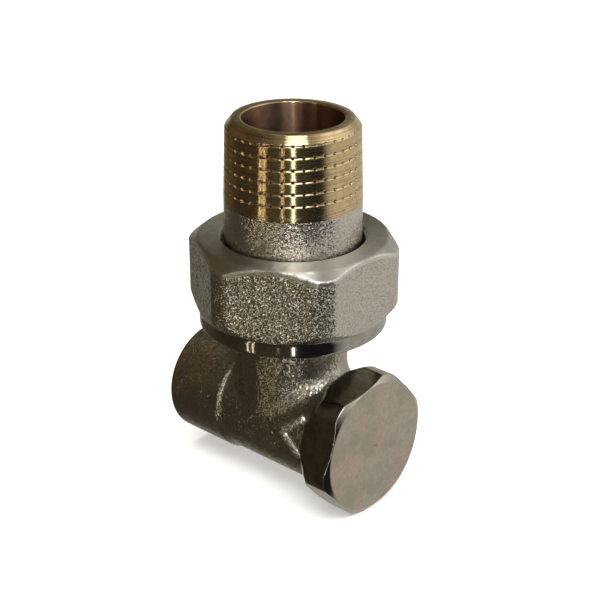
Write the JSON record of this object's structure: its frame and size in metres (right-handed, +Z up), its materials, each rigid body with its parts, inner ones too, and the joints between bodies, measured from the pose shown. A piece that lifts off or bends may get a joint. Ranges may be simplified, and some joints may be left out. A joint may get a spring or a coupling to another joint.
{
  "type": "angled radiator return valve",
  "caption": "Angled radiator return valve in nickel-plated brass: upright taper-threaded tailpiece held by a union nut, and a hexagonal cap over the regulating spindle.",
  "frame": {"origin": "centre of the pipe end's face; the crests of its inner thread start 0.4 mm inside", "axes": "+X along the barrel from the pipe end to the cap, +Z up along the tailpiece, Y across"},
  "size_m": [0.0365, 0.0328, 0.0605],
  "materials": {
    "forging": "nickel-plated forging, blasted satin",
    "nut_nickel": "nickel-plated, blasted flats and turned ends",
    "cap_nickel": "nickel-plated, smooth sides and matt front",
    "tail_brass": "bare cut brass thread over a nickel-plated neck",
    "brass": "turned bare brass",
    "steel": "turned",
    "rubber": "smooth black rubber",
    "fibre": "pressed fibre"
  },
  "bodies": {
    "valve": {"valve_body": "forging", "bonnet": "brass", "bonnet_ring": "rubber"},
    "cap_seal": {"cap_ring": "fibre"},
    "cap": {"cap": "cap_nickel"},
    "spindle_seals": {"spindle_ring_inner": "rubber", "spindle_ring_outer": "rubber"},
    "spindle": {"spindle": "brass", "seat_disc": "rubber", "disc_washer": "steel", "disc_screw": "brass"},
    "tail": {"tailpiece": "tail_brass", "union_ring": "rubber"},
    "nut": {"union_nut": "nut_nickel"}
  },
  "joints": [
    {"name": "cap_slide", "type": "slide", "parent": "valve", "child": "cap_seal", "axis": [1, 0, 0], "range_m": [0, 0.005]},
    {"name": "cap_turn", "type": "hinge", "parent": "cap_seal", "child": "cap", "pos_m": [0.0365, 0, 0], "axis": [1, 0, 0], "range_deg": [0, 1800]},
    {"name": "spindle_slide", "type": "slide", "parent": "valve", "child": "spindle_seals", "axis": [1, 0, 0], "range_m": [-0.003, 0]},
    {"name": "spindle_turn", "type": "hinge", "parent": "spindle_seals", "child": "spindle", "pos_m": [0.0339, 0, 0], "axis": [1, 0, 0], "range_deg": [-1080, 0]},
    {"name": "tail_lift", "type": "slide", "parent": "valve", "child": "tail", "axis": [0, 0, 1], "range_m": [0, 0.00907]},
    {"name": "nut_turn", "type": "hinge", "parent": "tail", "child": "nut", "pos_m": [0.0192, 0, 0.0306], "axis": [0, 0, 1], "range_deg": [0, 1800]}
  ],
  "couplings": [
    {"joint": "cap_slide", "follows": "cap_turn", "m_per_rad": 0.00015915},
    {"joint": "spindle_slide", "follows": "spindle_turn", "m_per_rad": 0.00015915},
    {"joint": "tail_lift", "follows": "nut_turn", "m_per_rad": 0.00028871}
  ]
}
